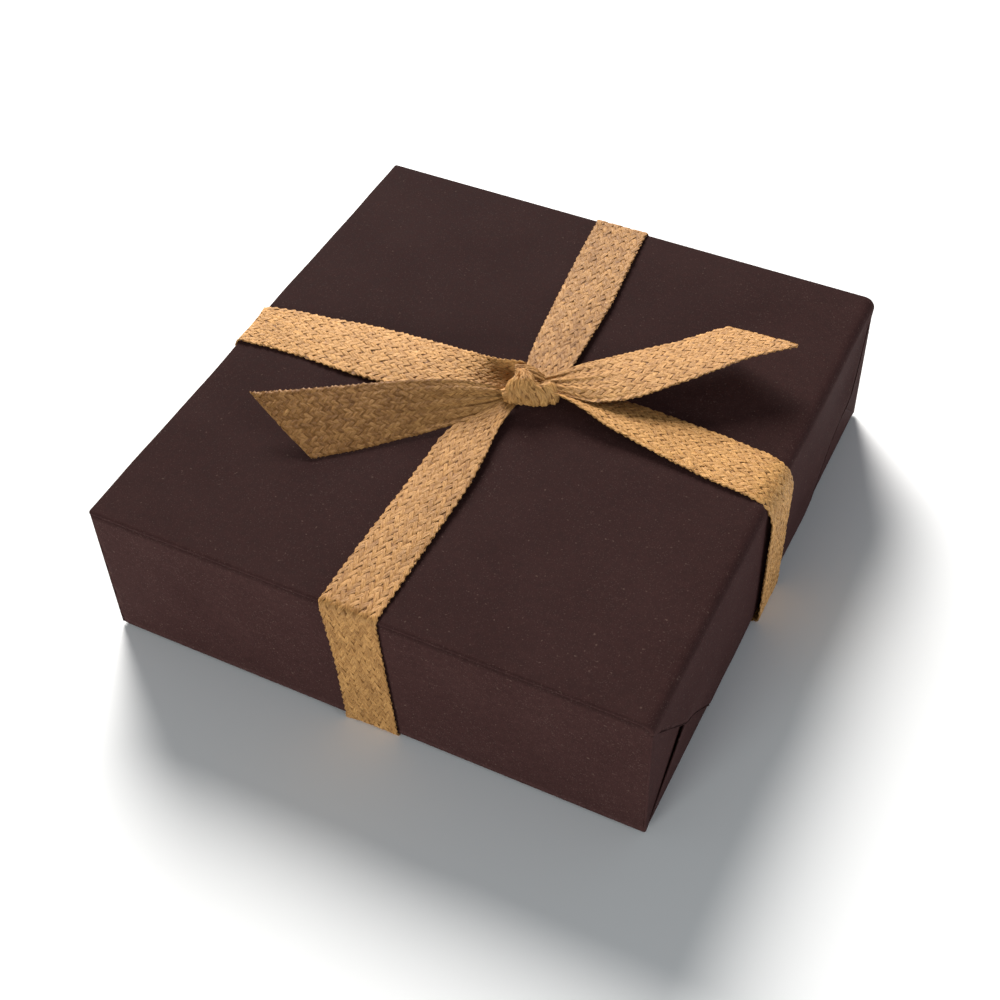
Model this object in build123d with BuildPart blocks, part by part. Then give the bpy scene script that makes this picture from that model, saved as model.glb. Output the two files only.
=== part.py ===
"""Wrapped gift box: a two-piece card box, folded kraft paper held by tape, and a braided raffia ribbon
tied crosswise with a single knot on top. Frame: +X right, +Y back, +Z up, origin under the middle of the
box on the surface it stands on. Millimetres."""

import os
from math import cos, radians, sin

from build123d import *

# Driving dimensions -------------------------------------------------------------------------------
package_width = 200.0  # x, over the folded ends
package_depth = 208.6  # y, over the paper
package_height = 57.4  # z, over the paper
paper_thickness = 0.3
paper_fold_radius = 0.5
soft_fold_radius = 5.0  # the paper rolls softly over the right end
lap_gap = 0.05  # air between layers that lie on each other
seam_overlap = 25.0
seam_y = 40.0  # the outer lap's edge, underneath

card_thickness = 1.8
card_gap = 0.3  # play between tray and lid
lid_edge_radius = 0.6
lid_soft_radius = 4.0  # pressed round at the right end

tape_width = 19.0
tape_length = 45.0
tape_thickness = 0.1
seam_tape_offset = 50.0  # x of the two seam tapes, either side of the ribbon
end_tape_height = 20.0

ribbon_width = 20.0  # pulled tight
ribbon_thickness = 1.0
ribbon_side_gap = 0.5  # how far the ribbon stands off a side
right_end_gap = 2.2  # it stands further off the right end
tight_bend = 1.0
loose_bend = 6.0
under_inset = 6.0  # where the side arms hand over to the under-runs

knot_x = 9.5
knot_y = 2.5
knot_heading = 38.0  # degrees from +X, the line of the two tails
knot_core_length = 17.0
knot_core_radius = 3.2
knot_end_radius = 1.6
knot_wrap_length = 10.0
knot_wrap_thickness = 2.0
knot_play = 0.1

tail_width = 25.0  # relaxed, so wider than the tight runs
tail_thickness = 1.0
tail_root_half = 3.5
tail_fan_length = 20.0  # from the root to full width
tail_start = 10.0  # hinge line, from the middle of the knot
tail_clearance = 0.8  # from the hinge line to the first ribbon material

# Heights and half sizes that follow ---------------------------------------------------------------
paper_bottom = ribbon_thickness
paper_top = paper_bottom + package_height
half_width = package_width / 2
half_depth = package_depth / 2

top_flap_x = half_width - paper_thickness / 2
bottom_flap_x = top_flap_x - paper_thickness - tape_thickness
tuck_x = bottom_flap_x - paper_thickness - lap_gap
wrap_left = -half_width + 6 * paper_thickness
wrap_right = half_width - soft_fold_radius - 1.0

lid_clearance = 0.1
lid_half_x = tuck_x - paper_thickness / 2 - lap_gap
lid_half_y = half_depth - paper_thickness - lid_clearance
lid_top = paper_top - paper_thickness - lid_clearance
card_bottom = paper_bottom + 2 * paper_thickness + lap_gap + lid_clearance
tray_half_x = lid_half_x - card_thickness - card_gap
tray_half_y = lid_half_y - card_thickness - card_gap
tray_top = lid_top - card_thickness - card_gap

knot_wrap_radius = knot_core_radius + knot_play + knot_wrap_thickness
knot_z = paper_top + 2 * ribbon_thickness + knot_wrap_radius + knot_play


def heading_vector(degrees):
    return Vector(cos(radians(degrees)), sin(radians(degrees)), 0)


def upright_plane(x, y, z, degrees):
    """A vertical plane whose local x runs along the heading and whose local y is up."""
    along = heading_vector(degrees)
    return Plane(origin=(x, y, z), x_dir=along, z_dir=along.cross(Vector(0, 0, 1)))


def write(part, name):
    part.label = name
    export_step(part, f"parts/{name}.step")


os.makedirs("parts", exist_ok=True)

# Card box -----------------------------------------------------------------------------------------
with BuildPart() as inner_box_tray:
    with Locations((0, 0, card_bottom)):
        Box(2 * tray_half_x, 2 * tray_half_y, tray_top - card_bottom,
            align=(Align.CENTER, Align.CENTER, Align.MIN))
    offset(amount=-card_thickness, openings=inner_box_tray.faces().sort_by(Axis.Z)[-1], kind=Kind.INTERSECTION)

with BuildPart() as inner_box_lid:
    with Locations((0, 0, card_bottom)):
        Box(2 * lid_half_x, 2 * lid_half_y, lid_top - card_bottom,
            align=(Align.CENTER, Align.CENTER, Align.MIN))
    offset(amount=-card_thickness, openings=inner_box_lid.faces().sort_by(Axis.Z)[0], kind=Kind.INTERSECTION)
    top_edges = inner_box_lid.faces().sort_by(Axis.Z)[-1].outer_wire().edges().sort_by(Axis.X)
    fillet(top_edges[-1], lid_soft_radius)
    fillet(top_edges[:-1], lid_edge_radius)

write(inner_box_tray.part, "inner_box_tray")
write(inner_box_lid.part, "inner_box_lid")

# Wrapping paper: one sheet, folded round the box, with its edges lapped on the underside ------------
paper_middle = paper_thickness / 2
wrap_front = -half_depth + paper_middle
wrap_back = half_depth - paper_middle
outer_lap_z = paper_bottom + paper_middle
inner_lap_z = outer_lap_z + paper_thickness + lap_gap

with BuildPart() as paper_main_wrap:
    with BuildSketch(Plane.YZ.offset(wrap_left)):
        with BuildLine():
            FilletPolyline(
                (seam_y - seam_overlap, inner_lap_z),
                (wrap_back, inner_lap_z),
                (wrap_back, paper_top - paper_middle),
                (wrap_front, paper_top - paper_middle),
                (wrap_front, outer_lap_z),
                (seam_y, outer_lap_z),
                radius=paper_fold_radius,
            )
        trace(line_width=paper_thickness)
    extrude(amount=wrap_right - wrap_left)

write(paper_main_wrap.part, "paper_main_wrap")


def side_tuck(fold, end, roll, side):
    """A front or back tuck, folded in flat against the end of the box before the other two flaps.
    Its top corner is rounded to lie inside the top flap's roll."""
    skin = side * (half_depth - paper_middle)
    reach = side * (half_depth - package_height)
    low = paper_bottom + 3 * paper_thickness
    high = paper_top - paper_thickness - lap_gap
    edge = end * (half_width - paper_thickness - lap_gap)
    with BuildPart() as tuck:
        with BuildSketch(Plane.XY.offset(low)):
            with BuildLine():
                FilletPolyline(
                    (fold, skin),
                    (end * tuck_x, skin),
                    (end * tuck_x, reach),
                    radius=paper_middle,
                )
            trace(line_width=paper_thickness)
        extrude(amount=high - low)
        with BuildSketch(Plane.XZ.offset(-half_depth)) as inside:
            with Locations(((fold + edge) / 2, (low + high) / 2)):
                Rectangle(abs(edge - fold), high - low)
            corner = inside.vertices().group_by(Axis.Y)[-1].sort_by(Axis.X)[-1 if end > 0 else 0]
            fillet(corner, roll - paper_thickness)
        extrude(amount=package_depth, mode=Mode.INTERSECT)
    return tuck.part


def end_flap(fold, end, roll, fold_x, from_z, to_z):
    """A top or bottom flap: full width at its fold, with sides folded under at 45 degrees."""
    length = abs(to_z - from_z)
    with BuildPart() as flap:
        with BuildSketch(Plane.XZ.offset(-half_depth)):
            with BuildLine():
                FilletPolyline(
                    (fold, from_z),
                    (end * fold_x, from_z),
                    (end * fold_x, to_z),
                    radius=roll,
                )
            trace(line_width=paper_thickness)
        extrude(amount=package_depth)
        with BuildSketch(Plane.YZ.offset(-half_width - 1)):
            with BuildLine():
                Polyline(
                    (-half_depth + paper_fold_radius, from_z),
                    (half_depth - paper_fold_radius, from_z),
                    (half_depth - length, to_z),
                    (-half_depth + length, to_z),
                    close=True,
                )
            make_face()
            with Locations((0, from_z)):
                Rectangle(2 * (half_depth - paper_fold_radius), 2 * paper_thickness)
        extrude(amount=package_width + 2, mode=Mode.INTERSECT)
    return flap.part


tight_roll = 2 * paper_thickness
soft_roll = soft_fold_radius - paper_middle
for end, end_name, fold, roll in ((-1, "left", wrap_left, tight_roll), (1, "right", wrap_right, soft_roll)):
    for side, side_name in ((-1, "front"), (1, "back")):
        write(side_tuck(fold, end, roll, side), f"paper_{end_name}_{side_name}_tuck")
    bottom_flap = end_flap(fold, end, tight_roll, bottom_flap_x, outer_lap_z, paper_top - 2 * soft_fold_radius)
    write(bottom_flap, f"paper_{end_name}_bottom_flap")
    top_flap = end_flap(fold, end, roll, top_flap_x, paper_top - paper_middle, paper_bottom + 1.0)
    write(top_flap, f"paper_{end_name}_top_flap")

# Tape: two strips across the seam underneath, and a double-sided strip under each outer flap ---------
for side, side_name in ((-1, "left"), (1, "right")):
    with BuildPart() as seam_tape:
        with BuildSketch(Plane.XY.offset(paper_bottom - tape_thickness)):
            with Locations((side * seam_tape_offset, seam_y)):
                RectangleRounded(tape_width, tape_length, 0.4)
        extrude(amount=tape_thickness)
    write(seam_tape.part, f"tape_seam_{side_name}")

    with BuildPart() as end_tape:
        with BuildSketch(Plane.YZ.offset(side * (half_width - paper_thickness - tape_thickness / 2))):
            with Locations((0, paper_bottom + end_tape_height)):
                RectangleRounded(tape_length, tape_width, 0.4)
        extrude(amount=tape_thickness / 2, both=True)
    write(end_tape.part, f"tape_end_{side_name}")

# Ribbon: four arms from the knot, over the edges and down the sides --------------------------------


def ribbon_arm(heading, reach, gap, bend, layer, root, root_centre, root_half, edge_centre):
    """One arm of the ribbon. Layer 0 lies on the paper, layer 1 climbs over layer 0 at the knot.
    Root is how far out its knot end starts; the centres are sideways, left of the heading."""
    half = ribbon_width / 2
    middle = ribbon_thickness / 2
    lying = paper_top + middle
    outside = reach + gap + middle
    climb_end = half + 4.0
    route = [(root, lying), (outside, lying), (outside, middle), (reach - under_inset, middle)]
    bends = [bend, tight_bend]
    if layer:
        raised = lying + ribbon_thickness
        route = [(root, raised), (climb_end, raised), (climb_end + 6.0, lying), *route[1:]]
        bends = [4.0, 4.0, *bends]
    with BuildPart() as arm:
        with BuildSketch(upright_plane(0, 0, 0, heading)):
            with BuildLine():
                FilletPolyline(*route, radius=bends)
            trace(line_width=ribbon_thickness)
        extrude(amount=ribbon_width, both=True)
        with BuildSketch(Plane(origin=(0, 0, -1), x_dir=heading_vector(heading), z_dir=(0, 0, 1))):
            with BuildLine():
                Polyline(
                    (root, root_centre - root_half),
                    (root + 2 * half, root_centre - half),
                    (reach, edge_centre - half),
                    (reach + half, edge_centre - half),
                    (reach + half, edge_centre + half),
                    (reach, edge_centre + half),
                    (root + 2 * half, root_centre + half),
                    (root, root_centre + root_half),
                    close=True,
                )
            make_face()
        extrude(amount=package_height + 10 * ribbon_thickness, mode=Mode.INTERSECT)
    return arm.part


write(ribbon_arm(180, half_width, ribbon_side_gap, tight_bend, 0, -knot_x, -knot_y, 9.0, 0.0),
      "ribbon_left_arm")
write(ribbon_arm(0, half_width, right_end_gap, loose_bend, 0, knot_x, knot_y, 5.0, 0.0),
      "ribbon_right_arm")
write(ribbon_arm(270, half_depth, ribbon_side_gap, tight_bend, 1, -knot_y, 2.0, 7.0, 0.0),
      "ribbon_front_arm")
write(ribbon_arm(90, half_depth, ribbon_side_gap, tight_bend, 1, knot_y, -knot_x + 2.0, 8.0, 0.0),
      "ribbon_back_arm")


def under_run(heading, reach, upper):
    """The stretch of ribbon beneath the box. Where the two cross, each is pressed to half its thickness."""
    half_thickness = ribbon_thickness / 2
    with BuildPart() as run:
        with BuildSketch(Plane(origin=(0, 0, 0), x_dir=heading_vector(heading), z_dir=(0, 0, 1))):
            Rectangle(2 * (reach - under_inset), ribbon_width)
        extrude(amount=ribbon_thickness)
        with BuildSketch(Plane.XY.offset(0 if upper else half_thickness)):
            Rectangle(ribbon_width + 0.6, ribbon_width + 0.6)
        extrude(amount=half_thickness, mode=Mode.SUBTRACT)
    return run.part


write(under_run(0, half_width, True), "ribbon_under_crosswise")
write(under_run(90, half_depth, False), "ribbon_under_lengthwise")

# Knot: a bundled core along the line of the tails, with one turn wrapped round it ------------------
knot_plane = upright_plane(knot_x, knot_y, knot_z, knot_heading)
knot_axis = Axis(origin=(knot_x, knot_y, knot_z), direction=heading_vector(knot_heading))

with BuildPart() as ribbon_knot_core:
    with BuildSketch(knot_plane):
        with BuildLine():
            ThreePointArc(
                (-knot_core_length / 2, knot_end_radius),
                (0, knot_core_radius),
                (knot_core_length / 2, knot_end_radius),
            )
            Polyline(
                (knot_core_length / 2, knot_end_radius),
                (knot_core_length / 2, 0),
                (-knot_core_length / 2, 0),
                (-knot_core_length / 2, knot_end_radius),
            )
        make_face()
    revolve(axis=knot_axis)

with BuildPart() as ribbon_knot_wrap:
    with BuildSketch(knot_plane):
        with Locations((0, knot_core_radius + knot_play + knot_wrap_thickness / 2)):
            RectangleRounded(knot_wrap_length, knot_wrap_thickness, knot_wrap_thickness * 0.45)
    revolve(axis=knot_axis)

write(ribbon_knot_core.part, "ribbon_knot_core")
write(ribbon_knot_wrap.part, "ribbon_knot_wrap")

# Tails: springy cut ends that fan out from the knot and curve clear of the lid ---------------------


def tail(heading, roll, rise_middle, rise_end, left_length, right_length):
    """A tail starts at its hinge line beside the knot. Roll lifts its left edge, seen along the heading."""
    along = heading_vector(heading)
    left = Vector(0, 0, 1).cross(along)
    across = left * cos(radians(roll)) + Vector(0, 0, 1) * sin(radians(roll))
    hinge = Vector(knot_x, knot_y, knot_z) + along * tail_start
    half = tail_width / 2
    length = max(left_length, right_length)
    with BuildPart() as piece:
        with BuildSketch(Plane(origin=hinge, x_dir=along, z_dir=-across)):
            with BuildLine():
                ThreePointArc((tail_clearance, 0), (length / 2, rise_middle), (length + 2.0, rise_end))
            trace(line_width=tail_thickness)
        extrude(amount=half + 1.0, both=True)
        with BuildSketch(Plane(origin=hinge, x_dir=along, z_dir=along.cross(across))):
            with BuildLine():
                Polyline(
                    (tail_clearance, tail_root_half),
                    (tail_fan_length, half),
                    (left_length, half),
                    (right_length, -half),
                    (tail_fan_length, -half),
                    (tail_clearance, -tail_root_half),
                    close=True,
                )
            make_face()
        extrude(amount=2 * tail_width, both=True, mode=Mode.INTERSECT)
    return piece.part


write(tail(knot_heading + 180, -28.0, 0.5, 2.0, 68.0, 83.0), "ribbon_left_tail")
write(tail(knot_heading, -14.0, 2.0, 6.0, 65.0, 82.0), "ribbon_right_tail")
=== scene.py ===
import math

import bpy
import numpy as np
from mathutils import Euler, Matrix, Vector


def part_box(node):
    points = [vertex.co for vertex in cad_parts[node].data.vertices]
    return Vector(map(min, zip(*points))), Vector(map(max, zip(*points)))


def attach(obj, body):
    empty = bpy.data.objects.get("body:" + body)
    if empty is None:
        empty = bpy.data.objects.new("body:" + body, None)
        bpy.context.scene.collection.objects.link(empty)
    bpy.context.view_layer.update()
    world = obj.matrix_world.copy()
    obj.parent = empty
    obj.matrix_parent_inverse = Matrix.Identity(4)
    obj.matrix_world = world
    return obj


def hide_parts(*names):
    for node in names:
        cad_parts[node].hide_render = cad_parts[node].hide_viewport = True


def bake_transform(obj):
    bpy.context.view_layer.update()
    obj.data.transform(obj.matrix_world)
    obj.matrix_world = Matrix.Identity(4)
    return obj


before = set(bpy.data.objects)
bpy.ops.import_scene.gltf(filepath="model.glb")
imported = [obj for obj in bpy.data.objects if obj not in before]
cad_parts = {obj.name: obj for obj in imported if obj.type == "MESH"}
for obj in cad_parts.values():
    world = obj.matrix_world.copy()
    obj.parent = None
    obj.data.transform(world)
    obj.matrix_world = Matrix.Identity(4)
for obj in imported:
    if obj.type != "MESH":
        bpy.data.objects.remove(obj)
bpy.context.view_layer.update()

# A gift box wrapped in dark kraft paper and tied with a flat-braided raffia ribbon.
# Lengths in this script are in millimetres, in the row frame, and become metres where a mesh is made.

MM = 0.001

# Places taken from the CAD ---------------------------------------------------------------------------
wrap_low, wrap_high = (np.array(v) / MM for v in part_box("paper_main_wrap"))
FRONT, BACK = wrap_low[1], wrap_high[1]
BOTTOM, TOP = wrap_low[2], wrap_high[2]
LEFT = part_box("paper_left_top_flap")[0].x / MM
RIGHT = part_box("paper_right_top_flap")[1].x / MM
HEIGHT = TOP - BOTTOM
PAPER = 0.3
KNOT = sum(np.array(v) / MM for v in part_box("ribbon_knot_wrap")) / 2
TAIL_HEADING = math.radians(38.0)
ALONG = np.array([math.cos(TAIL_HEADING), math.sin(TAIL_HEADING), 0.0])
FORWARD = np.array([math.sin(TAIL_HEADING), -math.cos(TAIL_HEADING), 0.0])
UP = np.array([0.0, 0.0, 1.0])


# Materials -------------------------------------------------------------------------------------------
def new_material(name):
    material = bpy.data.materials.new(name)
    material.use_nodes = True
    tree = material.node_tree
    shader = tree.nodes["Principled BSDF"]
    return material, tree, shader


def noise(tree, vector, scale, detail=3.0, roughness=0.5, dimensions="3D"):
    made = tree.nodes.new("ShaderNodeTexNoise")
    made.noise_dimensions = dimensions
    made.inputs["Scale"].default_value = scale
    made.inputs["Detail"].default_value = detail
    made.inputs["Roughness"].default_value = roughness
    tree.links.new(vector, made.inputs["Vector"])
    return made.outputs["Fac"]


def stretched(tree, vector, x, y, z):
    made = tree.nodes.new("ShaderNodeMapping")
    made.inputs["Scale"].default_value = (x, y, z)
    tree.links.new(vector, made.inputs["Vector"])
    return made.outputs["Vector"]


def ramp(tree, value, stops):
    """Colours along a 0 to 1 value: stops are (position, (r, g, b))."""
    made = tree.nodes.new("ShaderNodeValToRGB")
    elements = made.color_ramp.elements
    while len(elements) < len(stops):
        elements.new(0.5)
    for element, (position, colour) in zip(elements, stops):
        element.position = position
        element.color = (*colour, 1.0)
    tree.links.new(value, made.inputs["Fac"])
    return made.outputs["Color"]


def grey_ramp(tree, value, stops):
    """Plain numbers along a 0 to 1 value: stops are (position, number)."""
    return ramp(tree, value, [(position, (number, number, number)) for position, number in stops])


def mix_colour(tree, mode, amount, first, second):
    made = tree.nodes.new("ShaderNodeMix")
    made.data_type = "RGBA"
    made.blend_type = mode
    factor, first_colour, second_colour = made.inputs[0], made.inputs[6], made.inputs[7]
    factor.default_value = amount
    tree.links.new(first, first_colour)
    tree.links.new(second, second_colour)
    return made.outputs[2]


def flecks(tree, base, value, start, end, colour):
    """Adds a colour to the base where the value passes from start to end."""
    return mix_colour(tree, "ADD", 1.0, base, ramp(tree, value, [(start, (0.0, 0.0, 0.0)), (end, colour)]))


def maths(tree, operation, first, second):
    made = tree.nodes.new("ShaderNodeMath")
    made.operation = operation
    for socket, value in zip(made.inputs, (first, second)):
        if isinstance(value, bpy.types.NodeSocket):
            tree.links.new(value, socket)
        else:
            socket.default_value = value
    return made.outputs["Value"]


def bump(tree, shader, height, distance, strength=1.0):
    made = tree.nodes.new("ShaderNodeBump")
    made.inputs["Distance"].default_value = distance
    made.inputs["Strength"].default_value = strength
    tree.links.new(height, made.inputs["Height"])
    tree.links.new(made.outputs["Normal"], shader.inputs["Normal"])


def paper_material():
    material, tree, shader = new_material("kraft_paper")
    place = tree.nodes.new("ShaderNodeTexCoord").outputs["Object"]
    cloud = noise(tree, place, 45.0, 3.0)
    mottle = noise(tree, place, 420.0, 4.0, 0.7)
    fibre = noise(tree, stretched(tree, place, 1.0, 0.45, 1.0), 1500.0, 2.0, 0.6)
    fleck = noise(tree, place, 900.0, 1.0, 0.4)
    speck = noise(tree, place, 2300.0, 1.0, 0.5)
    base = ramp(tree, cloud, [(0.3, (0.0560, 0.0245, 0.0230)), (0.7, (0.0640, 0.0288, 0.0268))])
    uneven = ramp(tree, mottle, [(0.3, (0.72, 0.70, 0.69)), (0.72, (1.25, 1.22, 1.20))])
    base = mix_colour(tree, "MULTIPLY", 0.55, base, uneven)
    base = flecks(tree, base, fibre, 0.60, 0.78, (0.016, 0.010, 0.008))
    base = flecks(tree, base, fleck, 0.71, 0.80, (0.075, 0.052, 0.040))
    base = flecks(tree, base, speck, 0.62, 0.74, (0.050, 0.036, 0.030))
    tree.links.new(base, shader.inputs["Base Color"])
    tree.links.new(grey_ramp(tree, mottle, [(0.2, 0.72), (0.8, 0.88)]), shader.inputs["Roughness"])
    shader.inputs["Specular IOR Level"].default_value = 0.03
    shader.inputs["Diffuse Roughness"].default_value = 1.0
    bump(tree, shader, maths(tree, "ADD", mottle, fibre), 0.00006, 0.6)
    return material


def raffia_material(name, light, dark):
    """Straw-like strands: fine fibres along each strand, darker crease lines, and a colour for each strand
    between the light and dark ends, which also carries painted light and shade for each piece. Made darker,
    it paints the shade in the gaps between strands.
    """
    material, tree, shader = new_material(name)
    uv = tree.nodes.new("ShaderNodeUVMap")
    uv.uv_map = "strand"
    tint_and_painted_light = tree.nodes.new("ShaderNodeAttribute")
    tint_and_painted_light.attribute_name = "tint_and_painted_light"
    place = tree.nodes.new("ShaderNodeTexCoord").outputs["Object"]
    fine = noise(tree, stretched(tree, uv.outputs["UV"], 9.0, 0.55, 1.0), 1.0, 3.0, 0.6, "2D")
    crease = noise(tree, stretched(tree, uv.outputs["UV"], 3.2, 0.22, 1.0), 1.0, 2.0, 0.5, "2D")
    patch = noise(tree, place, 130.0, 2.0)
    colour = ramp(tree, tint_and_painted_light.outputs["Fac"], [(0.0, dark), (1.0, light)])
    for amount, value, stops in (
        (0.75, fine, [(0.32, (0.60, 0.50, 0.38)), (0.62, (1.10, 1.09, 1.06))]),
        (0.7, crease, [(0.33, (0.62, 0.52, 0.40)), (0.50, (1.02, 1.02, 1.02))]),
        (0.5, patch, [(0.35, (0.86, 0.80, 0.72)), (0.65, (1.10, 1.08, 1.04))]),
    ):
        colour = mix_colour(tree, "MULTIPLY", amount, colour, ramp(tree, value, stops))
    tree.links.new(colour, shader.inputs["Base Color"])
    tree.links.new(grey_ramp(tree, fine, [(0.3, 0.62), (0.7, 0.42)]), shader.inputs["Roughness"])
    shader.inputs["Specular IOR Level"].default_value = 0.22
    bump(tree, shader, maths(tree, "ADD", fine, maths(tree, "MULTIPLY", crease, 1.4)), 0.00022, 0.8)
    return material


def card_material():
    material, tree, shader = new_material("grey_board")
    place = tree.nodes.new("ShaderNodeTexCoord").outputs["Object"]
    pulp = noise(tree, place, 600.0, 5.0, 0.7)
    fleck = noise(tree, place, 1400.0, 1.0)
    base = ramp(tree, pulp, [(0.3, (0.30, 0.26, 0.21)), (0.7, (0.40, 0.35, 0.29))])
    dark_flecks = ramp(tree, fleck, [(0.25, (0.45, 0.42, 0.40)), (0.36, (1.0, 1.0, 1.0))])
    base = mix_colour(tree, "MULTIPLY", 0.8, base, dark_flecks)
    tree.links.new(base, shader.inputs["Base Color"])
    tree.links.new(grey_ramp(tree, pulp, [(0.2, 0.80), (0.8, 0.93)]), shader.inputs["Roughness"])
    bump(tree, shader, pulp, 0.00010, 0.7)
    return material


def tape_material():
    material, tree, shader = new_material("satin_tape")
    place = tree.nodes.new("ShaderNodeTexCoord").outputs["Object"]
    streak = noise(tree, stretched(tree, place, 1.0, 0.12, 1.0), 700.0, 3.0)
    base = ramp(tree, streak, [(0.3, (0.40, 0.37, 0.31)), (0.7, (0.50, 0.47, 0.40))])
    tree.links.new(base, shader.inputs["Base Color"])
    tree.links.new(grey_ramp(tree, streak, [(0.3, 0.30), (0.7, 0.42)]), shader.inputs["Roughness"])
    bump(tree, shader, streak, 0.00004, 0.5)
    return material


PAPER_LOOK = paper_material()
# The dark end of the raffia ramp serves the low tones that paint shade, as on the left tail.
RAFFIA = raffia_material("raffia", (0.78, 0.435, 0.160), (0.24, 0.110, 0.030))
# Dark raffia for the sheet under the strands: painted shade in the gaps between them.
RAFFIA_PAINTED_SHADE = raffia_material("raffia_web", (0.32, 0.155, 0.048), (0.24, 0.110, 0.032))
CARD = card_material()
TAPE = tape_material()


# Meshes ----------------------------------------------------------------------------------------------
def quad_piece(name, points, quads, material, strand_uv=None, tint_and_painted_light=None):
    """A mesh of quads from points in millimetres. The caller says which body it rides on."""
    points = np.asarray(points, float).reshape(-1, 3) * MM
    quads = np.asarray(quads, np.int32).reshape(-1, 4)
    mesh = bpy.data.meshes.new(name)
    mesh.vertices.add(len(points))
    mesh.vertices.foreach_set("co", points.ravel())
    mesh.loops.add(quads.size)
    mesh.loops.foreach_set("vertex_index", quads.ravel())
    mesh.polygons.add(len(quads))
    mesh.polygons.foreach_set("loop_start", np.arange(0, quads.size, 4, dtype=np.int32))
    if strand_uv is not None:
        layer = mesh.uv_layers.new(name="strand")
        layer.data.foreach_set("uv", np.asarray(strand_uv, np.float32)[quads.ravel()].ravel())
    if tint_and_painted_light is not None:
        tints_with_painted_light = mesh.attributes.new("tint_and_painted_light", "FLOAT", "POINT")
        tints_with_painted_light.data.foreach_set("value", np.asarray(tint_and_painted_light, np.float32))
    mesh.materials.append(material)
    mesh.update(calc_edges=True)
    mesh.validate()
    mesh.shade_smooth()
    piece = bpy.data.objects.new(name, mesh)
    bpy.context.scene.collection.objects.link(piece)
    return piece


def grid_quads(rows, columns, first=0, wrap=False):
    """Quads of a grid of rows by columns of points, its columns closed into a ring with wrap."""
    r = np.arange(rows - 1)[:, None]
    c = np.arange(columns if wrap else columns - 1)[None, :]
    after = (c + 1) % columns
    return (first + np.stack([r * columns + c, r * columns + after, (r + 1) * columns + after,
                              (r + 1) * columns + c], -1)).reshape(-1, 4)


def wander(rng, length, reach, at):
    """A smooth random curve of about -1 to 1, whose swings are about reach long."""
    total = np.zeros_like(at, dtype=float)
    for octave in (1.0, 1.9, 3.3):
        total += np.sin(at * (2 * math.pi * octave / reach) + rng.uniform(0, 2 * math.pi)) / octave
    return total / 1.6


def smoothstep(value):
    value = np.clip(value, 0.0, 1.0)
    return value * value * (3 - 2 * value)


# Ribbon ----------------------------------------------------------------------------------------------
SMOOTHING = 9               # path steps either side over which a station's values blend into the next


def rounded_path(places, cuts, step=0.4):
    """A line through places whose corners are rounded off, as evenly spaced points."""
    places = np.array(places, float)
    line = [places[:1]]
    t = np.linspace(0, 1, 24)[:, None]
    for before, corner, after, cut in zip(places, places[1:], places[2:], cuts[1:]):
        ends = []
        for other in (before, after):
            reach = np.linalg.norm(other - corner)
            ends.append(corner + (other - corner) / reach * min(cut, reach * 0.499))
        line.append((1 - t) ** 2 * ends[0] + 2 * t * (1 - t) * corner + t ** 2 * ends[1])
    line.append(places[-1:])
    line = np.concatenate(line)
    gone = np.concatenate([[0.0], np.cumsum(np.linalg.norm(np.diff(line, axis=0), axis=1))])
    even = np.linspace(0, gone[-1], int(gone[-1] / step) + 2)
    return even, np.stack([np.interp(even, gone, c) for c in line.T], -1)


class Run:
    """A stretch of ribbon along its middle line, through stations.

    A station is its place, how much of the corner there is rounded off, the direction of its left edge, its
    half width, its roll and curl in degrees, and its share of the full thickness. Roll lifts the left edge.
    Curl bends both edges up, or down if negative."""

    def __init__(self, stations, dent=None):
        places = np.array([s[0] for s in stations], float)
        self.at, self.middle = rounded_path(places, [s[1] for s in stations])
        self.length = self.at[-1]
        self.dent = dent
        marks = [self.at[np.argmin(np.linalg.norm(self.middle - p, axis=1))] for p in places]
        marks[0], marks[-1] = 0.0, self.length
        values = np.array([[*left, half, math.radians(roll), math.radians(curl), press]
                           for _, _, left, half, roll, curl, press in stations], float)
        values = np.stack([np.interp(self.at, marks, c) for c in values.T], -1)
        window = np.hanning(2 * SMOOTHING + 3)[1:-1]
        padded = np.pad(values, ((SMOOTHING, SMOOTHING), (0, 0)), mode="edge")
        values = np.stack([np.convolve(c, window / window.sum(), "valid") for c in padded.T], -1)
        forward = np.gradient(self.middle, self.at, axis=0)
        forward /= np.linalg.norm(forward, axis=1, keepdims=True)
        side = values[:, :3] - forward * np.sum(values[:, :3] * forward, axis=1, keepdims=True)
        self.side = side / np.linalg.norm(side, axis=1, keepdims=True)
        self.normal = np.cross(forward, self.side)
        self.half, self.roll, self.curl, self.press = values[:, 3:].T

    def place(self, at, share, lift=0.0):
        """Points at lengths along the run and sideways shares, 1 at the left edge, lifted off the middle
        surface."""
        def number(column):
            return np.interp(at, self.at, column)

        def vector(columns):
            return np.stack([number(c) for c in columns.T], -1)

        middle, side, normal = vector(self.middle), vector(self.side), vector(self.normal)
        half, roll, curl, press = (number(c) for c in (self.half, self.roll, self.curl, self.press))
        curl = np.where(np.abs(curl) < 1e-3, 1e-3, curl)
        angle = roll + curl * share
        across = half * (np.sin(angle) - np.sin(roll)) / curl
        up = half * (np.cos(roll) - np.cos(angle)) / curl
        lift = lift * press
        if self.dent is not None:
            lift = lift + self.dent(at, share)
        across = across - np.sin(angle) * lift
        up = up + np.cos(angle) * lift
        return middle + side * across[..., None] + normal * up[..., None]


STRAND_LIFT = 0.15          # how far a strand rises over the one it crosses
STRAND_HALF_THICKNESS = 0.14
STRAND_OVERLAP = 1.13       # a strand's width against its even share of the plait
STRAND_SQUARENESS = 0.55    # the power that makes its round section boxy
CROSSING_SHARPNESS = 2.4    # how quickly a strand goes from over to under
EDGE_REACH = 0.985          # how far out the strands fold over, as a sideways share
RING = 12                   # points round a strand
TIP = 0.02                  # size of a strand's closed tip against the strand
SHADE_WEB_REACH = 0.965           # the painted-shade sheet's edges, as a sideways share
SHADE_WEB_STEP = 0.9
SHADE_WEB_COLUMNS = 13


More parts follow.
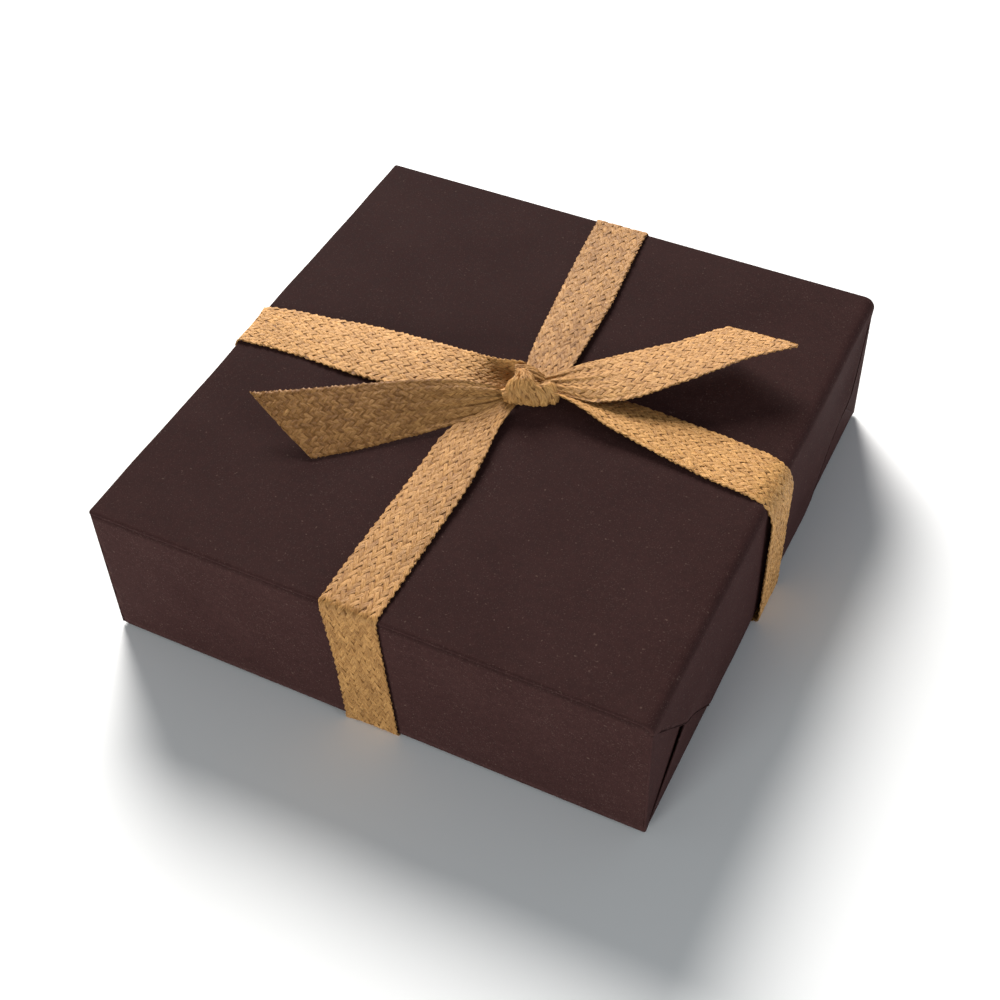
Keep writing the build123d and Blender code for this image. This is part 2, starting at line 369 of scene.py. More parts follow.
def columns_of(share, strands):
    """Position in the plait's columns, two crossings wide each, of a sideways share."""
    inner_columns = (strands - 5) // 4
    edge = 4 * inner_columns / strands
    outer = np.sign(share) * (inner_columns + (np.abs(share) - edge) / (1 - edge))
    return np.where(np.abs(share) < edge, share * strands / 4, outer)


def braid(name, run, width, slant, seed, cut=None, rough=1.0, step=0.62, strands=21, relief=1.0, tone=0.0,
          root=0.0):
    """The plait's strands over a run. Each goes from edge to edge and folds over there; in each column of the
    plait one way lies on top.

    Slant is the strands' angle to the run in degrees, and cut gives where a strand stops, from its sideways
    share. Tone lightens or darkens the strands, and root lightens them only near the start: both are painted
    light and shade, for how the light falls on each piece."""
    rng = np.random.default_rng(seed)
    end = run.length
    slope = math.radians(slant)
    period = 2 * width / math.tan(slope)
    strand_half = width * math.cos(slope) / strands * STRAND_OVERLAP
    ring_angle = np.linspace(0, 2 * math.pi, RING, endpoint=False)
    ring_a = np.cos(ring_angle)
    ring_b = np.sign(np.sin(ring_angle)) * np.abs(np.sin(ring_angle)) ** STRAND_SQUARENESS
    points, quads, uvs, tints_with_painted_light = [], [], [], []
    count = 0
    for strand in range(strands):
        at = np.arange(0.0, end, step)
        phase = (at / period + strand / strands + rng.uniform(-0.010, 0.010)
                 + 0.009 * rough * wander(rng, end, 21.0, at) * math.tan(slope)) % 1.0
        share = EDGE_REACH * (2 / math.pi) * np.arcsin(0.9985 * np.sin(2 * math.pi * phase - math.pi / 2))
        way = np.where(phase < 0.5, 1.0, -1.0)
        share = share + 0.012 * rough * wander(rng, end, 13.0, at)
        if cut is not None:
            keep = at < cut(share) + strand_half / math.sin(slope)
            stop = len(at) if keep.all() else int(np.argmin(keep))
            at, phase, share, way = at[:stop], phase[:stop], share[:stop], way[:stop]
        if len(at) < 4:
            continue
        gone = at / math.cos(slope)
        half = strand_half * (1 + 0.10 * rough * wander(rng, end, 9.0, gone))
        column = columns_of(np.clip(share + 0.010 * wander(rng, end, 6.0, at), -1, 1), strands)
        over = np.clip(-np.sin(math.pi * column) * CROSSING_SHARPNESS, -1, 1)
        lift = way * STRAND_LIFT * relief * over * (1 + 0.15 * rough * wander(rng, end, 5.0, gone))
        line = np.stack([at, share * width / 2, lift], -1)
        forward = np.gradient(line, axis=0)
        room = np.minimum((1 - np.abs(share)) * width / 2, half * math.cos(slope))
        back = room / math.tan(slope) - half / math.sin(slope)
        across = np.stack([back, way * room, np.zeros_like(at)], -1)
        normal = np.cross(forward, across)
        normal /= np.linalg.norm(normal, axis=1, keepdims=True)
        ridge = np.zeros((len(at), RING))
        for _ in range(3):
            swing = rng.uniform(4.0, 8.5)
            start_angle = rng.uniform(0, 6.3)
            drift = 1.6 * wander(rng, end, 16.0, gone)[:, None]
            ridge += np.sin(ring_a[None, :] * swing + start_angle + drift)
        tilt = 0.22 * rough * wander(rng, end, 11.0, gone)
        thick = STRAND_HALF_THICKNESS * relief * (1 + 0.12 * wander(rng, end, 7.0, gone))
        height = (thick[:, None] * ring_b[None, :]
                  + 0.022 * rough * ridge * np.sign(ring_b)[None, :] * (1 - ring_a ** 2)[None, :]
                  + (tilt * 0.25)[:, None] * ring_a[None, :])
        grid = (line[:, None, :] + across[:, None, :] * ring_a[None, :, None]
                + normal[:, None, :] * height[:, :, None])
        for tip in (0, -1):
            closed = line[tip] + (grid[tip] - line[tip]) * TIP
            grid = np.concatenate([closed[None], grid] if tip == 0 else [grid, closed[None]])
        flat = grid.reshape(-1, 3)
        if cut is not None:
            stop = cut(flat[:, 1] / (width / 2)) + rng.uniform(-0.15, 0.15)
            flat[:, 0] = np.minimum(flat[:, 0], stop)
        points.append(run.place(flat[:, 0], flat[:, 1] / (width / 2), flat[:, 2]))
        rows = len(grid)
        quads.append(grid_quads(rows, RING, count, wrap=True))
        count += rows * RING
        along = np.concatenate([gone[:1], gone, gone[-1:]])[:, None] + np.zeros(RING)
        around = ring_a[None, :] * 0.5 + strand * 7.0 + (ring_b < 0) * 3.0 + np.zeros((rows, 1))
        uvs.append(np.stack([around, along + strand * 31.0 + seed * 17.0], -1).reshape(-1, 2))
        # The piece's tone and the root amount are painted light and shade; the random parts are real
        # differences between strands.
        strand_tint_and_painted_light = 0.5 + tone + root * np.exp(-along / 24.0) + rng.uniform(-0.14, 0.14)
        strand_tint_and_painted_light = strand_tint_and_painted_light + 0.08 * wander(rng, end, 24.0, along)
        if cut is not None:
            strand_tint_and_painted_light[-2:] += 0.3
        tints_with_painted_light.append(np.clip(strand_tint_and_painted_light, 0, 1).ravel())
    return quad_piece(name, np.concatenate(points), np.concatenate(quads), RAFFIA,
                      strand_uv=np.concatenate(uvs), tint_and_painted_light=np.concatenate(tints_with_painted_light))


def painted_shade_web(name, run, cut=None):
    """A dark sheet at the middle surface of the plait: painted shade, which shows only in the gaps between
    strands.
    """
    across = np.linspace(-SHADE_WEB_REACH, SHADE_WEB_REACH, SHADE_WEB_COLUMNS)
    rows = int(run.length / SHADE_WEB_STEP) + 2
    stop = np.full_like(across, run.length) if cut is None else cut(across) - 0.3
    at = np.linspace(0, 1, rows)[:, None] * stop[None, :]
    share = np.broadcast_to(across, at.shape)
    points = run.place(at.ravel(), share.ravel())
    uv = np.stack([share.ravel() * 6.0, at.ravel()], -1)
    return quad_piece(name, points, grid_quads(rows, len(across)), RAFFIA_PAINTED_SHADE,
                      strand_uv=uv, tint_and_painted_light=np.full(at.size, 0.5))


def ribbon_piece(name, run, width, slant, seed, stands_for=None, bends=None, held=None, cut=None, **details):
    """A dark sheet of painted shade and its strands, standing for the CAD node of the same name unless
    stands_for says otherwise.

    Bends is (body, start, end) for a tail; it only keeps the pieces in place instead of riding on the
    package, and its body, start and end are not used. Held, which a stretch that lies or hangs as one layer
    gives, is not used beyond a length that nothing reads."""
    # The first piece is the dark sheet of painted shade under the strands.
    base = painted_shade_web(name + "_web", run, cut)
    strands = braid(name + "_braid", run, width, slant, seed, cut, **details)
    for piece in (base, strands):
        if bends:
            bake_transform(piece)
        else:
            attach(piece, "package")
    nodes = [name] if stands_for is None else stands_for
    if nodes:
        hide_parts(*nodes)
    if held:
        length = run.length if cut is None else float(np.mean(cut(np.linspace(-1, 1, 9))))


def station(place, cut, side, half, roll=0.0, curl=0.0, press=1.0):
    return (np.asarray(place, float), cut, np.asarray(side, float), half, roll, curl, press)


MINUS_X, PLUS_X = np.array([-1.0, 0, 0]), np.array([1.0, 0, 0])
MINUS_Y, PLUS_Y = np.array([0, -1.0, 0]), np.array([0, 1.0, 0])
FLOOR = 0.62

left_arm = Run([
    station((5.0, 6.9, TOP + 4.0), 2, MINUS_Y, 8.2, -40, 60),
    station((2.5, 6.9, TOP + 3.7), 2, MINUS_Y, 8.2, -38, 58),
    station((-3.0, 5.0, TOP + 3.3), 3, MINUS_Y, 7.9, -31, 44),
    station((-9.0, 3.3, TOP + 3.8), 4, MINUS_Y, 8.1, -22, 22),
    station((-14.5, 2.9, TOP + 4.0), 5, MINUS_Y, 8.9, -14, 8),
    station((-21.0, 2.7, TOP + 3.6), 6, MINUS_Y, 10.2, -8, -2),
    station((-30.0, 1.7, TOP + 3.1), 9, MINUS_Y, 12.4, -4, -8),
    station((-44.0, 1.2, TOP + 2.6), 9, MINUS_Y, 13.1, -2, -8),
    station((-58.0, 0.6, TOP + 2.2), 9, MINUS_Y, 12.9, -1, -6),
    station((-75.0, -0.2, TOP + 1.6), 9, MINUS_Y, 11.5, 0, -6),
    station((-88.0, -1.0, TOP + 1.3), 6, MINUS_Y, 10.9, 0, -4),
    station((LEFT - 1.1, -3.6, TOP + 0.9), 3, MINUS_Y, 10.2),
    station((LEFT - 1.1, -4.2, TOP - 8.0), 6, MINUS_Y, 10.2),
    station((LEFT - 1.1, -1.0, TOP - 30.0), 9, MINUS_Y, 10.2),
    station((LEFT - 1.1, 0.0, FLOOR), 1.6, MINUS_Y, 10.0),
    station((LEFT + 6.0, 0.0, FLOOR), 1, MINUS_Y, 10.0),
])
right_arm = Run([
    station((12.0, 4.6, TOP + 5.6), 3, PLUS_Y, 3.6, -52, -10),
    station((22.0, 7.5, TOP + 4.6), 7, PLUS_Y, 5.6, -36, -10),
    station((40.0, 7.4, TOP + 4.0), 9, PLUS_Y, 8.9, -10, -10),
    station((60.0, 5.6, TOP + 2.6), 9, PLUS_Y, 9.9, -3, -8),
    station((78.0, 3.6, TOP + 1.9), 9, PLUS_Y, 10.6, 0, -6),
    station((RIGHT + 3.0, 1.2, TOP + 1.6), 12, PLUS_Y, 10.6, 0, -6),
    station((RIGHT + 2.4, 0.2, TOP - 30.0), 9, PLUS_Y, 9.8),
    station((RIGHT + 2.2, 0.0, FLOOR), 1.8, PLUS_Y, 9.8),
    station((RIGHT - 6.0, 0.0, FLOOR), 1, PLUS_Y, 10.0),
])
front_arm = Run([
    station((4.2, -2.5, TOP + 4.4), 3, PLUS_X, 3.0, 0, 10),
    station((3.0, -9.0, TOP + 3.6), 4, PLUS_X, 3.9, 0, 10),
    station((0.2, -16.0, TOP + 2.8), 5, PLUS_X, 6.5),
    station((-1.5, -26.0, TOP + 2.3), 6, PLUS_X, 9.2, 3),
    station((-0.9, -42.0, TOP + 2.0), 9, PLUS_X, 10.2, 4, -6),
    station((-1.6, -72.0, TOP + 1.6), 9, PLUS_X, 10.5, 3, -6),
    station((-1.8, FRONT - 1.3, TOP + 1.0), 3.2, PLUS_X, 10.5),
    station((0.6, FRONT - 1.4, TOP - 28.0), 9, PLUS_X, 10.0, 2),
    station((2.0, FRONT - 1.3, FLOOR), 1.8, PLUS_X, 10.1, 0),
    station((0.5, FRONT + 6.3, FLOOR), 1, PLUS_X, 10.0),
])
back_arm = Run([
    station((9.2, 5.0, TOP + 3.8), 3, MINUS_X, 4.6),
    station((9.0, 14.0, TOP + 3.2), 5, MINUS_X, 7.0, -4),
    station((8.0, 22.0, TOP + 2.7), 6, MINUS_X, 8.6, -4),
    station((6.4, 34.0, TOP + 2.3), 8, MINUS_X, 9.5, -4, -6),
    station((4.3, 60.0, TOP + 1.8), 9, MINUS_X, 10.6, -3, -6),
    station((1.5, 85.0, TOP + 1.4), 9, MINUS_X, 10.5, -2),
    station((-0.4, BACK + 1.3, TOP + 1.0), 3, MINUS_X, 10.4),
    station((0.0, BACK + 1.2, TOP - 28.0), 9, MINUS_X, 10.2),
    station((0.0, BACK + 1.2, FLOOR), 1.6, MINUS_X, 10.0),
    station((0.0, BACK - 6.3, FLOOR), 1, MINUS_X, 10.0),
])
crosswise = Run([
    station((LEFT + 5.5, 0, FLOOR), 1, PLUS_Y, 10.0),
    station((-17.0, 0, FLOOR), 3, PLUS_Y, 10.0),
    station((-11.0, 0, FLOOR + 0.27), 3, PLUS_Y, 10.0, 0, 0, 0.46),
    station((11.0, 0, FLOOR + 0.27), 3, PLUS_Y, 10.0, 0, 0, 0.46),
    station((17.0, 0, FLOOR), 3, PLUS_Y, 10.0),
    station((RIGHT - 5.5, 0, FLOOR), 1, PLUS_Y, 10.0),
])
lengthwise = Run([
    station((0.5, FRONT + 5.8, FLOOR), 1, MINUS_X, 10.0),
    station((0.0, -17.0, FLOOR), 3, MINUS_X, 10.0),
    station((0.0, -11.0, FLOOR - 0.27), 3, MINUS_X, 10.0, 0, 0, 0.42),
    station((0.0, 11.0, FLOOR - 0.27), 3, MINUS_X, 10.0, 0, 0, 0.42),
    station((0.0, 17.0, FLOOR), 3, MINUS_X, 10.0),
    station((0.0, BACK - 5.8, FLOOR), 1, MINUS_X, 10.0),
])

tight = {"held": "stretched", "rough": 1.2}
hidden = {"held": "stretched", "step": 0.9}
# Each piece's tone lightens or darkens it to match how lit it looks: painted light and shade.
ribbon_piece("ribbon_left_arm", left_arm, 24.0, 31, 3, held="stretched", strands=29, tone=0.26)
ribbon_piece("ribbon_right_arm", right_arm, 20.0, 28, 5, strands=29, tone=0.31, **tight)
ribbon_piece("ribbon_front_arm", front_arm, 20.0, 25, 7, strands=25, tone=-0.06, **tight)
ribbon_piece("ribbon_back_arm", back_arm, 20.0, 25, 9, strands=25, tone=-0.14, **tight)
ribbon_piece("ribbon_under_crosswise", crosswise, 20.0, 25, 11, **hidden)
ribbon_piece("ribbon_under_lengthwise", lengthwise, 20.0, 25, 13, **hidden)


# Tails: places are measured from the middle of the knot, along the tail's heading and to its left ----
def tail_stations(heading, rows):
    left = np.cross(UP, heading)
    foot = KNOT * (1, 1, 0)
    return [station(foot + heading * along + left * aside + UP * (TOP + high), cut, left, half, roll, curl)
            for along, aside, high, cut, half, roll, curl in rows]


def left_tail_dent(at, share):
    """The gathers in the first part of the left tail."""
    fade = smoothstep((48.0 - at) / 40.0)
    return fade * (0.30 * np.sin(share * 9.0) - 1.2 * np.exp(-((share - 0.20) / 0.12) ** 2)
                   - 0.9 * np.exp(-((share - 0.74) / 0.10) ** 2))


def right_tail_dent(at, share):
    """The gathers in the first part of the right tail."""
    fade = smoothstep((40.0 - at) / 34.0)
    return fade * (0.35 * np.sin(share * 10.0 + 0.4) + 0.15 * np.sin(share * 23.0))


left_tail = Run(tail_stations(-ALONG, [
    (5.0, -0.6, 4.6, 2, 2.4, -42, 0),
    (10.0, -0.2, 5.2, 3, 3.4, -40, 0),
    (15.0, 0.5, 6.0, 4, 5.4, -36, 0),
    (22.0, 0.4, 6.6, 5, 7.4, -34, 0),
    (31.0, -0.2, 6.8, 6, 8.8, -34, 0),
    (40.0, -0.2, 6.9, 6, 10.0, -33, -4),
    (51.0, -0.3, 7.0, 8, 11.1, -30, -4),
    (62.0, 0.1, 7.1, 9, 12.0, -29, -4),
    (80.0, -0.4, 7.2, 9, 12.9, -29, 0),
    (98.0, -1.3, 7.7, 1, 13.6, -31, 0),
]), left_tail_dent)
right_tail = Run(tail_stations(ALONG, [
    (4.0, 1.2, 7.6, 3, 2.4, 0, 0),
    (10.0, 0.5, 7.4, 4, 5.6, 0, -10),
    (20.0, -0.9, 7.4, 6, 10.4, 0, -14),
    (32.0, -2.0, 8.2, 9, 12.7, -5, -10),
    (56.0, -1.0, 10.6, 9, 13.0, -13, -4),
    (73.0, 1.2, 12.2, 9, 13.0, -16, 0),
    (94.0, 1.8, 12.8, 1, 13.0, -17, 0),
]), right_tail_dent)


def left_tail_cut(share):
    """Where the left tail ends, in millimetres from its start: a slanted cut."""
    return 81.2 - 9.2 * share


def right_tail_cut(share):
    """Where the right tail ends: a slanted cut whose longer corner is blunt."""
    return 80.1 - 9.2 * share - 2.4 * np.maximum(0.0, -share - 0.84) / 0.16


bend_start, bend_end = 9.0, 24.0
# The tails' tones are painted light and shade: the left tail's low tone stands for its tilt away from the key
# light, and its root amount paints light back near the knot.
ribbon_piece("ribbon_left_tail", left_tail, 26.0, 43, 15, held="hung", relief=0.75, strands=29, tone=-0.38,
             root=0.7, bends=("left_tail", KNOT - ALONG * bend_start, KNOT - ALONG * bend_end),
             cut=left_tail_cut)
ribbon_piece("ribbon_right_tail", right_tail, 26.0, 38, 17, held="hung", relief=0.85, strands=29, tone=0.07,
             bends=("right_tail", KNOT + ALONG * bend_start, KNOT + ALONG * bend_end), cut=right_tail_cut)


# Knot: places are measured from its middle, along the tails, forward of them, and up ---------------
def knot_stations(side, rows):
    return [station(KNOT + ALONG * a + FORWARD * f + UP * u, cut, side, half, roll, curl)
            for a, f, u, cut, half, roll, curl in rows]


def knot_dent(at, share):
    """The pleats of the ribbon drawn tight over the knot."""
    return (0.22 * np.sin(share * 17.0 + 0.5) + 0.10 * np.sin(share * 41.0)
            - 0.7 * np.exp(-((share + 0.30) / 0.06) ** 2))


def knot_back_dent(at, share):
    """The shallower pleats behind the knot."""
    return 0.2 * np.sin(share * 15.0)


knot_fan = Run(knot_stations(ALONG + 0.20 * FORWARD - 0.12 * UP, [
    (-2.2, -7.8, 1.2, 1, 1.3, 0, -10),
    (-2.0, -6.3, 3.9, 2, 1.6, 0, -20),
    (-1.7, -2.6, 4.7, 3, 2.9, 0, -40),
    (-2.6, 0.6, 4.6, 3, 6.4, 0, -55),
    (-2.6, 3.6, 2.2, 3, 9.6, 0, -50),
    (-1.0, 5.4, -1.6, 3, 10.6, 0, -42),
    (-0.4, 4.8, -4.6, 2, 9.8, 0, -25),
    (-0.6, 2.0, -5.4, 1, 8.6, 0, -10),
]), knot_dent)
knot_back = Run(knot_stations(-FORWARD, [
    (-4.0, -7.2, 3.0, 2, 3.0, -10, -20),
    (0.0, -6.4, 3.6, 3, 3.9, -10, -30),
    (4.0, -5.0, 1.8, 3, 4.3, -10, -35),
    (6.8, -4.0, -1.4, 2, 4.0, -10, -30),
    (7.2, -3.8, -4.4, 1, 3.4, -10, -20),
]), knot_back_dent)
knot_core = Run(knot_stations(-FORWARD, [
    (-10.5, 0.2, 0.4, 2, 4.4, 0, -176),
    (-6.0, 0.3, 1.6, 3, 8.4, 0, -178),
    (0.0, 0.0, 1.8, 3, 8.8, 0, -178),
    (5.0, 0.0, 0.8, 3, 7.4, 0, -178),
    (9.0, 0.4, -0.2, 2, 4.4, 0, -176),
]))
# The knot fan's tone is painted light, for the brighter top of the knot.
ribbon_piece("ribbon_knot_fan", knot_fan, 20.0, 20, 19, stands_for=["ribbon_knot_wrap"], rough=1.3, step=0.4,
             strands=29, tone=0.16)
ribbon_piece("ribbon_knot_back", knot_back, 20.0, 20, 21, stands_for=[], rough=1.3, step=0.4, strands=29)
ribbon_piece("ribbon_knot_core", knot_core, 20.0, 27, 23, rough=1.3, step=0.5)


# Wrapping paper --------------------------------------------------------------------------------------
GRID = 2.6                  # spacing of the sheet's points
CRISP, SOFT = 0.9, 3.8      # radii of the top's folds at the left and right ends
EDGE_FOLD = 0.8             # radius of the folds along the front and back of the top
LOW_FOLD = 0.5              # radius of the other folds
FOLD_POINTS = 5
FLAP_EDGE = 1.4             # height of the top flaps' lower edges
FLAP_SLANT = 1.02           # how fast the top flaps narrow towards those edges
LOWER_INSET = 0.5           # how far inside the top flaps the lower flaps lie
LOWER_GAP = 11.0            # how far below the top the lower flaps end
LAP_LIFT = 0.5              # how far above the outer lap the inner lap lies
INNER_LAP, OUTER_LAP = 15.0, 40.0   # how far behind the middle the two laps' edges are
PLAIN_GRID = 3.0            # spacing of the points on the laps and tucks
FACE_ROWS = 22
LEFT_SHARE = 0.5            # how much of the right end's slack the left end has
half_depth = BACK


def arc(middle, radius, first, last, count):
    """Points (u, v) on an arc, its angles in degrees, and the outward direction at each."""
    angle = np.radians(np.linspace(first, last, count))
    outward = np.stack([np.cos(angle), np.sin(angle)], -1)
    return np.array(middle) + radius * outward, outward


def spread(first, last, step):
    return np.linspace(first, last, max(2, int(abs(last - first) / step) + 1))


def roof_profile():
    """The sheet's outer line over the box, from the left flap's lower edge to the right one's, with the
    outward direction and how far each point is below its fold."""
    lines, outward, below = [], [], []

    def add(points, normals, depth):
        lines.append(points)
        outward.append(normals)
        below.append(depth)

    def add_fold(middle, radius, first, last, count):
        bend, normal = arc(middle, radius, first, last, count)
        add(bend, normal, np.zeros(count))

    def add_flap(x, heights, normal, depth):
        add(np.stack([np.full_like(heights, x), heights], -1), np.tile(normal, (len(heights), 1)), depth)

    rise = spread(BOTTOM + FLAP_EDGE, TOP - CRISP, GRID)[:-1]
    add_flap(LEFT, rise, [-1.0, 0.0], TOP - CRISP - rise)
    add_fold((LEFT + CRISP, TOP - CRISP), CRISP, 180, 90, 6)
    over = spread(LEFT + CRISP, RIGHT - SOFT, GRID)[1:-1]
    level = np.stack([over, np.full_like(over, TOP)], -1)
    add(level, np.tile([0.0, 1.0], (len(over), 1)), np.zeros(len(over)))
    add_fold((RIGHT - SOFT, TOP - SOFT), SOFT, 90, 0, 13)
    down = spread(TOP - SOFT, BOTTOM + FLAP_EDGE, GRID)[1:]
    add_flap(RIGHT, down, [1.0, 0.0], TOP - SOFT - down)
    return np.concatenate(lines), np.concatenate(outward), np.concatenate(below)


def unevenness(x, y, z):
    """Slow waves in the paper, in millimetres off its flat face."""
    return (0.16 * np.sin(x / 17.0 + 1.3) * np.sin(y / 23.0 + 0.4)
            + 0.10 * np.sin(x / 9.0 - y / 13.0 + z / 8.0)
            + 0.05 * np.sin(x / 4.1 + y / 5.3 + z / 3.7))


def stand_off(y, below):
    """How far an end's outer flap is held off by the springy edges of the flap beneath it: more and more from
    the box's corner to where the two flaps' slanted edges cross."""
    inside = np.maximum(half_depth - below * FLAP_SLANT - np.abs(y), 0.0)
    past = np.maximum(below - 25.0, 0.0)
    return 2.0 * smoothstep(below / 25.0) * np.exp(-inside / 14.0 - past / 8.0)


class Sheet:
    """Patches of one sheet of paper, gathered into one mesh."""

    def __init__(self):
        self.points, self.quads, self.count = [], [], 0

    def patch(self, grid, flip=False):
        rows, columns = grid.shape[:2]
        quads = grid_quads(rows, columns, self.count)
        self.quads.append(quads[:, ::-1] if flip else quads)
        self.points.append(grid.reshape(-1, 3))
        self.count += rows * columns


def roof_patch(paper):
    """The top and the two top flaps, whose slanted edges run in from the box's corners."""
    near = half_depth - EDGE_FOLD
    inner = spread(-near, near, GRID)
    turn = np.radians(np.linspace(0, 90, 6))[1:]
    columns = []
    for (x, z), (nx, nz), depth in zip(profile, outward, below):
        reach = half_depth - depth * FLAP_SLANT
        if depth > 0:
            side = np.concatenate([np.full(5, -1.0), inner / near, np.full(5, 1.0)]) * reach
            side[:5] = -reach + 0.02 * np.arange(5)
            side[-5:] = reach - 0.02 * np.arange(5)[::-1]
            dip = np.zeros_like(side)
        else:
            round_out, round_down = EDGE_FOLD * np.sin(turn), EDGE_FOLD * (1 - np.cos(turn))
            side = np.concatenate([-(near + round_out[::-1]), inner, near + round_out])
            dip = np.concatenate([round_down[::-1], np.zeros_like(inner), round_down])
        wave = unevenness(x, side, z) * smoothstep((reach - np.abs(side)) / 8.0)
        if depth > 0:
            wave = wave + stand_off(side, depth) * (1.0 if nx > 0.5 else LEFT_SHARE)
        out = wave - dip
        columns.append(np.stack([x + nx * out, side, z + nz * out], -1))
    paper.patch(np.array(columns))


def face_patch(paper, side):
    """The front or back face, which hangs from its fold at the top and turns in round both ends as tucks."""
    low, high = LEFT + CRISP, RIGHT - CRISP
    top_part = below == 0
    fold_line = profile[top_part] - outward[top_part] * EDGE_FOLD
    face = np.array([(np.clip(x, low, high), side * half_depth, z) for x, z in fold_line])
    for end, edge in ((-1, low), (1, high)):
        top_z = face[0 if end < 0 else -1, 2]
        last = 90 - 90 * end if side > 0 else -90 + 90 * end
        bend, _ = arc((edge, side * (half_depth - LOW_FOLD)), LOW_FOLD, 90 * side, last, FOLD_POINTS)
        inward = side * spread(half_depth - LOW_FOLD, half_depth - HEIGHT, PLAIN_GRID)[1:]
        tuck = np.stack([np.full_like(inward, edge + end * LOW_FOLD / 2), inward], -1)
        corner = np.concatenate([bend[1:], tuck])
        corner = np.concatenate([corner, np.full((len(corner), 1), top_z)], -1)
        face = np.concatenate([corner[::-1], face] if end < 0 else [face, corner])
    drop = np.linspace(0, 1, FACE_ROWS)[:, None]
    tops = face[None, :, 2]
    grid = np.stack([
        np.broadcast_to(face[:, 0], (FACE_ROWS, len(face))),
        np.broadcast_to(face[:, 1], (FACE_ROWS, len(face))),
        tops + (BOTTOM + LOW_FOLD - tops) * drop,
    ], -1).copy()
    x, y, z = (grid[..., axis] for axis in range(3))
    flat = np.abs(y) > half_depth - 0.05
    wave = unevenness(x, y, z) * smoothstep((z - BOTTOM) / 8.0)
    wave *= smoothstep((x - LEFT) / 8.0) * smoothstep((RIGHT - x) / 8.0) * smoothstep(drop * 6)
    grid[..., 1] += np.where(flat, wave * side, 0.0)
    paper.patch(grid, flip=side > 0)


def under_patch(paper, side, lap_edge, height):
    """One of the two laps underneath, from the fold at the front or back to its edge."""
    middle = (side * (half_depth - LOW_FOLD), BOTTOM + LOW_FOLD)
    bend, _ = arc(middle, LOW_FOLD, 0 if side > 0 else 180, -90 if side > 0 else 270, FOLD_POINTS)
    under = spread(side * (half_depth - LOW_FOLD), lap_edge, PLAIN_GRID)[1:]
    rise = (height - BOTTOM) * smoothstep((half_depth - np.abs(under)) / 10.0)
    line = np.concatenate([bend, np.stack([under, BOTTOM + rise], -1)])
    across = spread(LEFT + CRISP, RIGHT - CRISP, PLAIN_GRID)
    paper.patch(np.array([[(x, y, z) for x in across] for y, z in line]), flip=side < 0)


def lower_flap_patch(paper, end, edge):
    """An end's lower flap. Its slanted edges stand off a little, most where the outer flap crosses them."""
    near = half_depth - EDGE_FOLD
    flat_share = spread(-near, near, GRID) / near
    bend, _ = arc((edge - end * LOW_FOLD, BOTTOM + LOW_FOLD), LOW_FOLD, -90, -90 + 90 * end, FOLD_POINTS)
    rise = spread(BOTTOM + LOW_FOLD, TOP - LOWER_GAP, GRID)[1:]
    line = np.concatenate([bend, np.stack([np.full_like(rise, edge), rise], -1)])
    near_edge = np.array([0.0, 0.4, 1.0, 2.0, 3.5])
    rows = []
    for x, z in line:
        depth = max(0.0, z - BOTTOM - LOW_FOLD)
        reach = half_depth - 0.6 - depth
        side = np.concatenate([-reach + near_edge, flat_share * (reach - 5.0), reach - near_edge[::-1]])
        inside = reach - np.abs(side)
        spring = (0.7 + 1.1 * smoothstep(depth / 26.0)) * np.exp(-inside / 7.0) * smoothstep(depth / 3.0)
        spring = spring * smoothstep((HEIGHT / 2 + 8.0 - depth) / 9.0)
        curl_back = 0.5 * np.exp(-inside / 0.4) * (depth > 0)
        off = end * (spring - curl_back) * (1.0 if end > 0 else LEFT_SHARE)
        rows.append(np.stack([x + off, side, np.full_like(side, z)], -1))
    paper.patch(np.array(rows), flip=end < 0)


paper = Sheet()
profile, outward, below = roof_profile()
roof_patch(paper)
for side in (-1, 1):
    face_patch(paper, side)
under_patch(paper, 1, INNER_LAP, BOTTOM + LAP_LIFT)
under_patch(paper, -1, OUTER_LAP, BOTTOM)
for end, edge in ((-1, LEFT + LOWER_INSET), (1, RIGHT - LOWER_INSET)):
    lower_flap_patch(paper, end, edge)

wrapping = quad_piece("wrapping_paper", np.concatenate(paper.points), np.concatenate(paper.quads), PAPER_LOOK)
thickness = wrapping.modifiers.new("thickness", "SOLIDIFY")
thickness.thickness = PAPER * MM
thickness.offset = -1.0
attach(wrapping, "package")
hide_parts("paper_main_wrap", *(f"paper_{end}_{part}" for end in ("left", "right") for part in (
    "front_tuck", "back_tuck", "bottom_flap", "top_flap")))


# Card and tape keep their CAD shapes -----------------------------------------------------------------
kept = {name: CARD for name in ("inner_box_tray", "inner_box_lid")}
kept.update({f"tape_{place}_{side}": TAPE for place in ("seam", "end") for side in ("left", "right")})
for name, look in kept.items():
    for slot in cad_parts[name].material_slots:
        slot.material = look


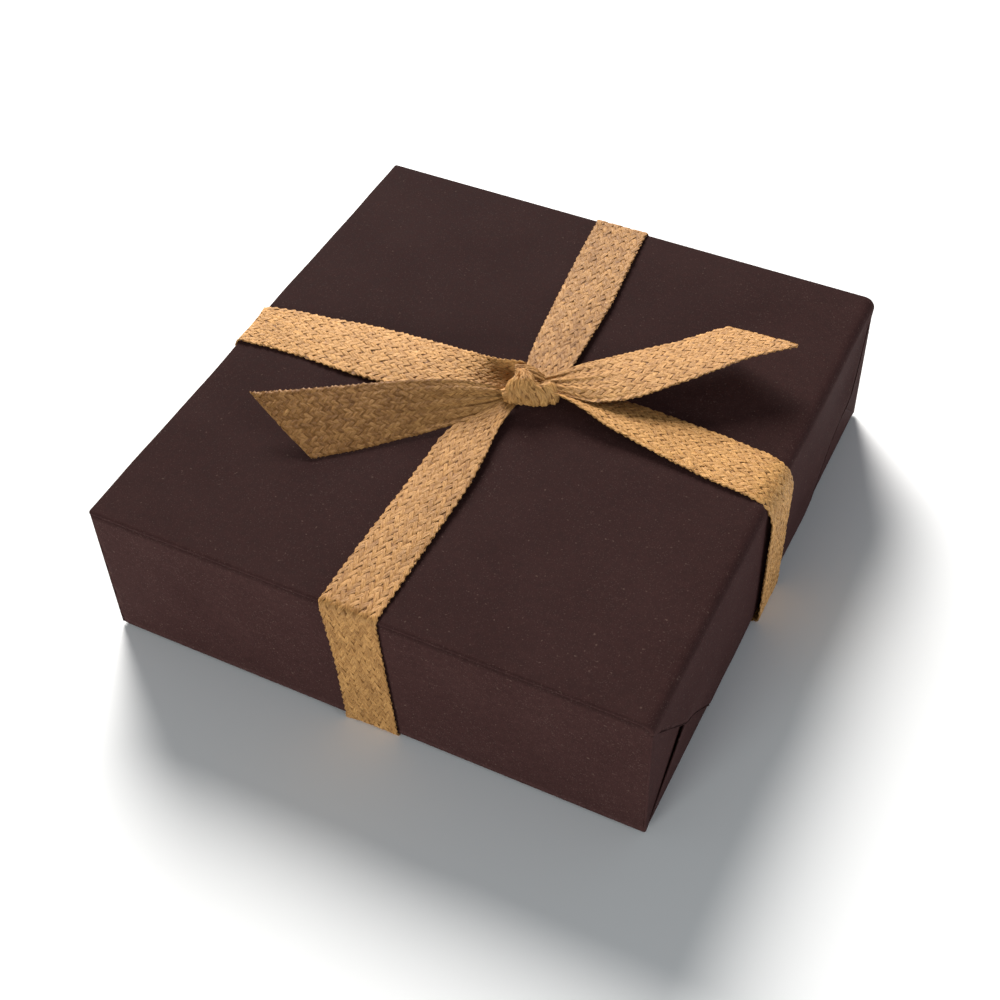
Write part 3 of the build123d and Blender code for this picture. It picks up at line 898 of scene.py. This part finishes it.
# Floor, light and camera -----------------------------------------------------------------------------
def floor():
    mesh = bpy.data.meshes.new("floor")
    half = 3.0
    corners = [(-half, -half, 0), (half, -half, 0), (half, half, 0), (-half, half, 0)]
    mesh.from_pydata(corners, [], [(0, 1, 2, 3)])
    material, tree, shader = new_material("floor")
    place = tree.nodes.new("ShaderNodeTexCoord").outputs["Object"]
    tone = grey_ramp(tree, noise(tree, place, 3.0), [(0.3, 0.90), (0.7, 0.92)])
    tree.links.new(tone, shader.inputs["Base Color"])
    shader.inputs["Roughness"].default_value = 0.9
    mesh.materials.append(material)
    piece = bpy.data.objects.new("floor", mesh)
    bpy.context.scene.collection.objects.link(piece)


def area_light(name, place, aim, size, power, colour):
    data = bpy.data.lights.new(name, "AREA")
    data.shape = "DISK"
    data.size = size
    data.energy = power
    data.color = colour
    light = bpy.data.objects.new(name, data)
    light.location = place
    direction = np.array(aim) - np.array(place)
    yaw = math.atan2(direction[1], direction[0])
    pitch = math.atan2(-direction[2], math.hypot(direction[0], direction[1]))
    light.rotation_euler = Euler((math.pi / 2 - pitch, 0, yaw - math.pi / 2), "XYZ")
    bpy.context.scene.collection.objects.link(light)


floor()
area_light("key", (-1.22, 1.57, 1.48), (0, 0, 0.04), 1.30, 126.0, (1.0, 0.98, 0.95))
area_light("front_fill", (-0.20, -1.40, 0.24), (0, 0, 0.03), 0.60, 11.0, (0.93, 1.0, 0.99))
area_light("side_fill", (1.40, -0.30, 0.24), (0, 0, 0.03), 0.60, 7.0, (0.80, 0.91, 1.0))

world = bpy.data.worlds.new("studio")
bpy.context.scene.world = world
world.use_nodes = True
background = world.node_tree.nodes["Background"]
background.inputs["Color"].default_value = (0.95, 0.97, 1.0, 1.0)
background.inputs["Strength"].default_value = 0.20

camera_data = bpy.data.cameras.new("camera")
camera_data.lens = 59.18
camera_data.sensor_width = 36.0
camera = bpy.data.objects.new("camera", camera_data)
camera.location = (0.19070, -0.36449, 0.45316)
camera.rotation_euler = Euler(tuple(math.radians(a) for a in (42.67287, 1.47333, 26.35763)), "XYZ")
bpy.context.scene.collection.objects.link(camera)
bpy.context.scene.camera = camera
bpy.context.scene.view_settings.view_transform = "Standard"
